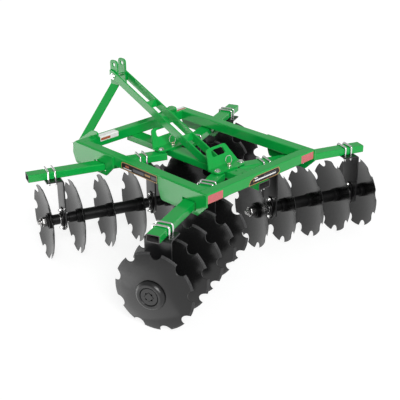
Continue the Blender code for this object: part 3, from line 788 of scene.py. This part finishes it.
def bearing(builder, along, toe, height, place):
    """A bearing in its bolted flange on the hanger's toe side, with a plain collar behind."""
    inner = journal_radius + 0.0012
    half = hanger_thickness / 2
    ahead = place @ at(along, 0, height) @ turn(toe * quarter, "Y")
    behind = place @ at(along, 0, height) @ turn(-toe * quarter, "Y")
    # After the turn, X is the flange's up and Y its side.
    flange = [(-0.03, -0.042), (-0.074, -0.016), (-0.074, 0.016), (-0.03, 0.042),
              (0.03, 0.042), (0.074, 0.016), (0.074, -0.016), (0.03, -0.042)]
    ringed(builder, rounded(flange, 0.014, 4), 0.034, half - 0.001, 0.0065, ahead, 1)
    housing = ((0.031, 0.001), (0.038, 0.001), (0.04, 0.003), (0.0395, 0.011), (0.037, 0.015),
               (0.0335, 0.0165), (0.032, 0.016), (0.031, 0.014), (0.031, 0.001))
    race = ((inner, 0.002), (0.0305, 0.002), (0.0305, 0.019), (0.0295, 0.02), (inner + 0.001, 0.02),
            (inner, 0.019), (inner, 0.002))
    collar = ((inner, 0.0005), (0.0365, 0.0005), (0.037, 0.002), (0.036, 0.012), (0.0345, 0.0135),
              (inner + 0.001, 0.0135), (inner, 0.0125), (inner, 0.0005))
    for profile, spot, slot in ((housing, ahead, 1), (race, ahead, 0), (collar, behind, 1)):
        builder.lathe([(radius, half + z) for radius, z in profile], 40, spot, slot)


for gang in GANGS:
    swing, spin, heading, end, toe = lie(gang)
    pivot = Vector(swing["pos_m"])
    middle = (Vector(spin["pos_m"]) - pivot).to_2d().length
    height = spin["pos_m"][2]
    place = at(pivot.x, pivot.y, 0) @ turn(heading, "Z")
    body = f"bar_{gang}"

    hangers, bolts = Builder(), Builder()
    for out in (bearing_shift, -bearing_shift):
        along = middle + out + toe * bearing_offset[end]
        z = foot_top - hanger_thickness / 2
        path = [(hanger_foot, z), (hanger_bend + 0.004, z)]
        path += arc((hanger_bend, z - hanger_bend), hanger_bend, quarter, math.pi, 6)
        path += [(0, 0.4), (0, 0.3), (0, 0.215), (0, hanger_bottom + toe_height), (0, hanger_bottom)]
        widths = [hanger_width / 2] * (len(path) - 1) + [hanger_width / 2 - toe_taper]
        ribbon(hangers, [(along + toe * x, z) for x, z in path], widths, place)
        bearing(bolts, along, toe, height, place)
        for offset in bolt_offsets:
            ubolt(bolts, along + toe * offset, place)
        for side, face, tip in ((toe, 0.0055, 0.019), (-toe, 0.0001, 0.013)):
            for z in flange_bolts:
                spot = place @ at(along + side * (hanger_thickness / 2 + face), 0, height + z)
                spot = spot @ turn(side * quarter, "Y")
                bolts.lathe(flange_washer, 20, spot)
                bolts.hexagon(0.0112, 0.0082, spot @ at(0, 0, 0.0022))
                end_line = [(0, 0.01), (0.0062, 0.01), (0.0062, tip - 0.0015), (0.005, tip), (0, tip)]
                bolts.lathe(end_line, 16, spot)
    replaced = [f"hanger_{gang}_outer", f"hanger_{gang}_inner"]
    hangers.finish(f"hangers_{gang}", body, [black], "black_paint", replaced)
    bolts.finish(f"ubolts_{gang}", body, [zinc, cast_black], "zinc")

    head = Builder()
    on_plate = at(pivot.x, pivot.y, frame_bottom + foot_thickness)
    head.lathe(pivot_washer, 28, on_plate @ at(0, 0, 0.0002))
    head.hexagon(0.0155, 0.0086, on_plate @ at(0, 0, 0.0026) @ turn(heading, "Z"))
    head.finish(f"pivot_bolt_{gang}", body, [bright_zinc], "zinc")


# Open tube ends, their hollows dark with painted shade
tube_wall = 0.005
cut_rim = 0.0004


def tube_end(builder, place, wide, high, depth=0.09):
    """The cut rim of a tube, and behind it a dark lining closed by a dark sheet: painted shade in its
    hollow; Z points out of the tube.
    """
    outer = panel(-wide / 2, wide / 2, -high / 2, high / 2, tube_corner, 5)

    def bore(inset):
        across, up = wide / 2 - tube_wall - inset, high / 2 - tube_wall - inset
        return panel(-across, across, -up, up, 0.003, 5)

    fresh = bmesh.new()
    back, front = bore(0.0001), bore(cut_rim)
    # The lining and the sheet that closes it at the back are dark to paint the hollow's shade.
    levels = ((back, -depth - cut_rim), (back, 0.0001), (outer, 0.0001), (outer, cut_rim),
              (front, cut_rim), (front, -depth))
    bridge_all(fresh, stacked(fresh, levels), True)
    builder.take(fresh, place)


for gang in GANGS:
    swing, _, heading, _, _ = lie(gang)
    place = at(*swing["pos_m"][:2], bar_top - bar_height / 2) @ turn(heading, "Z")
    hollow = Builder()
    for x, way, depth in ((bar_length - bar_inset, 1, 0.09), (-bar_inset, -1, 0.012)):
        out = place @ at(x, 0, 0) @ turn(way * quarter, "Y") @ turn(quarter, "Z")
        tube_end(hollow, out, bar_width, bar_height, depth)
    hollow.finish(f"tube_ends_{gang}", f"bar_{gang}", [scale_and_painted_shade])

low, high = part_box("centre_beam")
hollow = Builder()
for y, angle in ((low.y, quarter), (high.y, -quarter)):
    out = at(0, y, (low.z + high.z) / 2) @ turn(angle, "X")
    tube_end(hollow, out, high.x - low.x, high.z - low.z)
hollow.finish("tube_ends_beam", "frame", [scale_and_painted_shade])


# Adjuster pins with their ring clips
ring_radius = 0.0255
ring_wire = 0.0023
ring_lean = math.radians(78)
clip_height = 0.0165  # over the plate, as are the pin's heights
for end in ("front", "rear"):
    place = at(0, joints[f"angle_{end}_left"]["pos_m"][1], frame_bottom + foot_thickness)
    low = -foot_thickness
    pin = Builder()
    pin.lathe([(0, low), (0.007, low), (0.0072, low + 0.001), (0.0072, 0), (0.0125, 0.0003),
               (0.0132, 0.0012), (0.0132, 0.0075), (0.012, 0.0095), (0.0085, 0.0105), (0, 0.0105)],
              28, place, 1)
    pin.lathe([(0, 0.009), (0.008, 0.009), (0.008, 0.02), (0.007, 0.0222), (0.0035, 0.0232), (0, 0.0235)],
              28, place)
    clip = place @ at(0, 0, clip_height)
    angles = [math.tau * i / 48 for i in range(48)]
    ring = [(*spoke(ring_radius, angle), 0.0012 * math.sin(angle / 2)) for angle in angles]
    pin.sweep(ring, ring_wire, 10, clip @ turn(ring_lean, "X") @ at(0, ring_radius, 0), 1, True)
    pin.sweep([(x, 0, 0) for x in (-0.011, -0.004, 0.004, 0.011)], 0.0024, 10, clip)
    pin.finish(f"pin_clip_{end}", f"adjuster_{end}", [yellow_zinc, bright_zinc], "zinc",
               [f"adjuster_pin_{end}"])


# The mast's bolt and the hitch studs
mast_washer = [(0, 0), (0.0195, 0), (0.02, 0.0005), (0.02, 0.0022), (0.0195, 0.0027), (0, 0.0027)]
ear, bolt = (sum(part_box(name), Vector()) / 2 for name in ("mast_bar_right", "mast_bolt"))
bolt_place = at(0, ear.y, bolt.z)
brace_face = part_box("mast_braces")[1].x + 0.0002
mast = Builder()
shank = [(0, -0.0605), (0.009, -0.0605), (0.0095, -0.06), (0.0095, 0.066), (0.0085, 0.0672), (0, 0.0672)]
mast.lathe(shank, 28, bolt_place @ turn(quarter, "Y"))
for side, _ in SIDES:
    face = bolt_place @ at(side * brace_face, 0, 0) @ turn(side * quarter, "Y")
    mast.lathe(mast_washer, 28, face)
    mast.hexagon(0.0165, 0.01, face @ at(0, 0, 0.0026))
mast.finish("mast_bolt_dressed", "frame", [zinc], "zinc", ["mast_bolt"])

for side, hand in SIDES:
    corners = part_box(f"lower_hitch_pin_{hand}")
    tip = max(abs(corner.x) for corner in corners)
    centre = sum(corners, Vector()) / 2
    inner, outer = sorted(abs(corner.x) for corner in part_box(f"hitch_plate_{hand}"))
    place = at(0, centre.y, centre.z) @ turn(side * quarter, "Y")
    pin = Builder()
    stud = [(0, inner - 0.012), (0.0085, inner - 0.012), (0.0095, inner - 0.0105), (0.0095, outer)]
    stud += [(radius, outer + z) for radius, z in (
        (0.0165, 0.0003), (0.0172, 0.0012), (0.0172, 0.0056), (0.0165, 0.0064), (0.0112, 0.0068),
        (0.011, 0.008))]
    stud += [(radius, tip - z) for radius, z in (
        (0.011, 0.0145), (0.0102, 0.014), (0.0102, 0.011), (0.011, 0.0105), (0.011, 0.0025),
        (0.0085, 0), (0, 0))]
    pin.lathe(stud, 32, place)
    pin.finish(f"hitch_stud_{hand}", "frame", [zinc], "zinc", [f"lower_hitch_pin_{hand}"])
    nut = Builder()
    nut.hexagon(0.015, 0.009, place @ at(0, 0, inner - 0.0095))
    nut.finish(f"hitch_nut_{hand}", "frame", [zinc], "zinc")


# Weld beads
ripple = 0.0035
welds = Builder()


def bead(start, end, radius=0.0022):
    """A fillet of weld along a seam, with its ripples."""
    start, end = Vector(start), Vector(end)
    count = max(6, int((end - start).length / ripple))
    points = [start.lerp(end, i / count) for i in range(count + 1)]
    radii = [radius * (0.86 + 0.14 * (i % 2) + random.uniform(-0.04, 0.04)) for i in range(count + 1)]
    radii[0] = radii[-1] = radius * 0.4
    welds.sweep(points, radii, 8)


rail_inner = half_width - tube_side
plate_top = frame_top - 0.004
beam_side = 0.048
# Where the rails meet the cross tubes.
tube_faces = ((1, frame_front - tube_side), (-1, frame_rear + tube_side))
for side, hand in SIDES:
    x = side * (rail_inner - 0.0002)
    for end, y in tube_faces:
        z = frame_top - 0.0012
        bead((side * half_width * 0.992, y, z), (side * (rail_inner + 0.004), y, z))
        y -= end * 0.0008
        bead((x, y, frame_top - 0.006), (x, y, frame_bottom + 0.006), 0.0026)
    for end in ("front", "rear"):
        low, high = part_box(f"side_plate_{end}_{hand}")
        first = max(low.y + 0.01, frame_rear + 0.008)
        final = min(high.y - 0.016, frame_front - 0.008)
        x, z = side * (half_width + 0.0012), plate_top + 0.0003
        bead((x, first, z), (x, final, z))
for end, y in tube_faces:
    y, z = y - end * 0.0005, frame_bottom - 0.0005
    for side, _ in SIDES:
        bead((side * (beam_side - 0.004), y, z), (side * 0.004, y, z))
for _, hand in SIDES:
    low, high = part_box(f"hitch_plate_{hand}")
    for x in (low.x, high.x):
        z, y = frame_top + 0.0008, frame_front + 0.0008
        bead((x, low.y + 0.004, z), (x, frame_front - 0.004, z), 0.0024)
        bead((x, y, frame_top - 0.004), (x, y, low.z + 0.012), 0.0024)
welds.finish("weld_beads", "frame", [green], "green_paint", (), 60)


# Labels
def back_face(y):
    """A face that looks back (-Y): X to the right, Z up."""
    return at(0, y, 0) @ turn(quarter, "X")


def sticker(name, place, layers):
    """A thin label of (outline, look) layers, each reaching a little past the one before."""
    made = Builder()
    for number, (outline, _) in enumerate(layers):
        made.prism(outline, 0.00023 + 0.00012 * number, place @ at(0, 0, 0.00002), number)
    made.finish(name, "frame", [look for _, look in layers], None, (), 30)


def striped(name, place, outline, radii, centre, inner, stripes):
    """A plain dark decal with a tan edge; each stripe is (x0, x1, y0, y1, look)."""
    outline = rounded(outline, radii, 4)
    across, up = centre
    middle = [(across + (x - across) * inner[0], up + (y - up) * inner[1]) for x, y in outline]
    layers = [(outline, vinyl_tan), (middle, vinyl_black)]
    layers += [(panel(x0, x1, y0, y1, 0.002), look) for x0, x1, y0, y1, look in stripes]
    sticker(name, place, layers)


rear = back_face(frame_rear - 0.0001)
for hand, x0, x1 in (("left", -0.4495, -0.3335), ("right", 0.34, 0.4535)):
    sticker(f"reflector_{hand}", rear, [(panel(x0, x1, 0.5655, 0.6135, 0.002), reflector_red)])

striped("decal_rear", rear,
        [(-0.126, 0.564), (0.122, 0.564), (0.147, 0.578), (0.134, 0.611), (-0.06, 0.611),
         (-0.112, 0.596)],
        [0.003, 0.012, 0.012, 0.012, 0.03, 0.016], (0.01, 0.5875), (0.955, 0.83),
        [(-0.072, 0.106, 0.58, 0.5885, vinyl_white), (-0.078, -0.05, 0.596, 0.602, vinyl_white),
         (-0.088, -0.074, 0.58, 0.59, vinyl_tan), (0.000, 0.112, 0.5935, 0.5975, vinyl_grey)])

# A face that looks left (-X): X back, Z up.
left_face = at(-half_width - 0.0001, 0, 0) @ turn(-quarter, "Z") @ turn(quarter, "X")
y0, y1 = -0.137 - shift, 0.176 - shift
stripes = ((0.07, 0.3, 0.574, 0.579, vinyl_white), (0.13, 0.23, 0.585, 0.597, vinyl_orange),
           (0.34, 0.64, 0.577, 0.595, vinyl_grey), (0.67, 0.82, 0.582, 0.594, vinyl_tan),
           (0.84, 0.975, 0.577, 0.595, vinyl_grey))
striped("decal_rail", left_face,
        [(y0, 0.565), (y1, 0.564), (y1, 0.611), (y0 + 0.006, 0.613)], [0.016, 0.003, 0.003, 0.016],
        ((y0 + y1) / 2, 0.5885), (0.975, 0.78),
        [(y0 + start * (y1 - y0), y0 + end * (y1 - y0), low, high, look)
         for start, end, low, high, look in stripes])

# The left label is folded over the front tube's rear edge, with a plain bar low at one end.
edge = frame_front - tube_side
label_corner = 0.006
insets = (0.0, 0.0008, 0.002, 0.004, label_corner)
left, right = -0.312, -0.165
depth, drop = 0.046, 0.031
path = [(edge + depth - inset, frame_top, inset) for inset in insets]
path += [(edge + tube_corner - y, frame_top - tube_corner + z, label_corner)
         for z, y in arc((0, 0), tube_corner, 0, quarter, 6)]
path += [(edge, frame_top - drop + inset, inset) for inset in reversed(insets)]
fresh = bmesh.new()
rows = []
for lift in (0.0001, 0.0004):
    for y, z, inset in path:
        pull = label_corner - math.sqrt(max(0.0, label_corner ** 2 - (label_corner - inset) ** 2))
        up = lift if y > edge + 1e-6 else 0.0
        back = lift if z < frame_top - 1e-6 else 0.0
        rows.append([fresh.verts.new((x, y - back, z + up)) for x in (left + pull, right - pull)])
under, over = rows[:len(path)], rows[len(path):]
for sheet in (under, over):
    for first, second in zip(sheet, sheet[1:]):
        fresh.faces.new((first[0], first[1], second[1], second[0]))
for i in range(len(path) - 1):
    for k in (0, 1):
        fresh.faces.new((under[i][k], under[i + 1][k], over[i + 1][k], over[i][k]))
for i in (0, -1):
    fresh.faces.new((under[i][0], under[i][1], over[i][1], over[i][0]))
label_left = Builder()
label_left.take(fresh)
bar = panel(-0.306, -0.232, frame_top - 0.026, frame_top - 0.01, 0.002)
label_left.prism(bar, 0.0002, back_face(edge - 0.0004), 1)
label_left.finish("label_left", "frame", [vinyl_white, vinyl_orange], None, (), 40)

label_right = Builder()
flat = panel(0.328, 0.45, edge + 0.012, edge + 0.057, label_corner)
label_right.prism(flat, 0.0003, at(0, 0, frame_top + 0.0001))
bar = panel(0.345, 0.447, edge + 0.0145, edge + 0.031, 0.002)
label_right.prism(bar, 0.0002, at(0, 0, frame_top + 0.0004), 1)
label_right.finish("label_right", "frame", [vinyl_white, vinyl_orange], None, (), 40)


# Floor, light and camera
def seen_apart(tree, hidden, seen, out):
    """Shows one shader to the camera, in gloss and through glass, and another to all other light."""
    path = tree.nodes.new("ShaderNodeLightPath")
    share = path.outputs["Is Camera Ray"]
    for kind in ("Is Glossy Ray", "Is Transmission Ray"):
        either = tree.nodes.new("ShaderNodeMath")
        either.operation = "MAXIMUM"
        tree.links.new(share, either.inputs[0])
        tree.links.new(path.outputs[kind], either.inputs[1])
        share = either.outputs["Value"]
    choose = tree.nodes.new("ShaderNodeMixShader")
    tree.links.new(share, choose.inputs["Fac"])
    tree.links.new(hidden, choose.inputs[1])
    tree.links.new(seen, choose.inputs[2])
    tree.links.new(choose.outputs["Shader"], tree.nodes.new(out).inputs["Surface"])


def matt(tree, level):
    made = tree.nodes.new("ShaderNodeBsdfDiffuse")
    made.inputs["Color"].default_value = (level, level, level, 1)
    return made.outputs["BSDF"]


def floor_look():
    """Pale, and close to white where it shows."""
    material = bpy.data.materials.new("pale_floor")
    material.use_nodes = True
    tree = material.node_tree
    tree.nodes.clear()
    glow = tree.nodes.new("ShaderNodeEmission")
    glow.inputs["Strength"].default_value = 0.8
    both = tree.nodes.new("ShaderNodeAddShader")
    tree.links.new(matt(tree, 0.3), both.inputs[0])
    tree.links.new(glow.outputs["Emission"], both.inputs[1])
    seen_apart(tree, matt(tree, 0.55), both.outputs["Shader"], "ShaderNodeOutputMaterial")
    return material


floor_mesh = bpy.data.meshes.new("floor")
reach = 40.0
corners = [(-reach, -reach, 0), (reach, -reach, 0), (reach, reach, 0), (-reach, reach, 0)]
floor_mesh.from_pydata(corners, [], [(0, 1, 2, 3)])
floor_mesh.materials.append(floor_look())
floor = placed("floor", floor_mesh)
floor.location.z = -0.001

world = bpy.data.worlds.new("studio")
bpy.context.scene.world = world
world.use_nodes = True
tree = world.node_tree
tree.nodes.clear()
ambient = tree.nodes.new("ShaderNodeBackground")
ambient.inputs["Color"].default_value = (1, 1, 1, 1)
ambient.inputs["Strength"].default_value = 0.36
# The backdrop is white round the horizon and greyer overhead.
backdrop = tree.nodes.new("ShaderNodeBackground")
ray = tree.nodes.new("ShaderNodeTexCoord")
split = tree.nodes.new("ShaderNodeSeparateXYZ")
fade = tree.nodes.new("ShaderNodeValToRGB")
for element, position, level in zip(fade.color_ramp.elements, (0.1, 0.34), (1, 0.42)):
    element.position = position
    element.color = (level, level, level, 1)
tree.links.new(ray.outputs["Generated"], split.inputs["Vector"])
tree.links.new(split.outputs["Z"], fade.inputs["Fac"])
tree.links.new(fade.outputs["Color"], backdrop.inputs["Color"])
seen_apart(tree, ambient.outputs["Background"], backdrop.outputs["Background"], "ShaderNodeOutputWorld")

toward = Vector((-0.43, -0.77, 0.61)).normalized() * 6
key = bpy.data.lights.new("key", "SUN")
key.energy = 2.45
key.angle = math.radians(30)
sun = placed("key", key)
sun.location = toward
sun.rotation_euler = (-toward).to_track_quat("-Z", "Y").to_euler()


def softbox(name, west, east, south, north, level):
    """A low panel of light ahead and to the left, which shows only in gloss."""
    light = bpy.data.lights.new(name, "AREA")
    light.shape = "RECTANGLE"
    light.size, light.size_y = east - west, north - south
    light.energy = level * math.pi * light.size * light.size_y
    light.diffuse_factor = 0.0
    made = placed(name, light)
    made.location = ((west + east) / 2, (south + north) / 2, 0.003)
    made.rotation_euler = (math.pi, 0, 0)
    made.visible_camera = False
    made.visible_diffuse = False


softbox("gloss_core", -3.4, -1.03, -0.28, 4.3, 2.5)
softbox("gloss_edge", -3.4, -0.95, -0.75, 4.3, 0.6)

focal_length = 841.2  # in pixels of a picture 400 wide
picture_width = 400
spot = Vector((-3.3426, -3.3715, 2.4917))
target = Vector((-0.0502, -0.0593, 0.3062))
roll = math.radians(-0.21)
camera = bpy.data.cameras.new("camera")
camera.sensor_width = 36
camera.lens = focal_length / picture_width * camera.sensor_width
camera.clip_end = 200
view = placed("camera", camera)
view.location = spot
aim = (target - spot).to_track_quat("-Z", "Y").to_matrix().to_4x4()
view.rotation_euler = (aim @ turn(roll, "Z")).to_euler()
bpy.context.scene.camera = view
bpy.context.scene.view_settings.view_transform = "Standard"
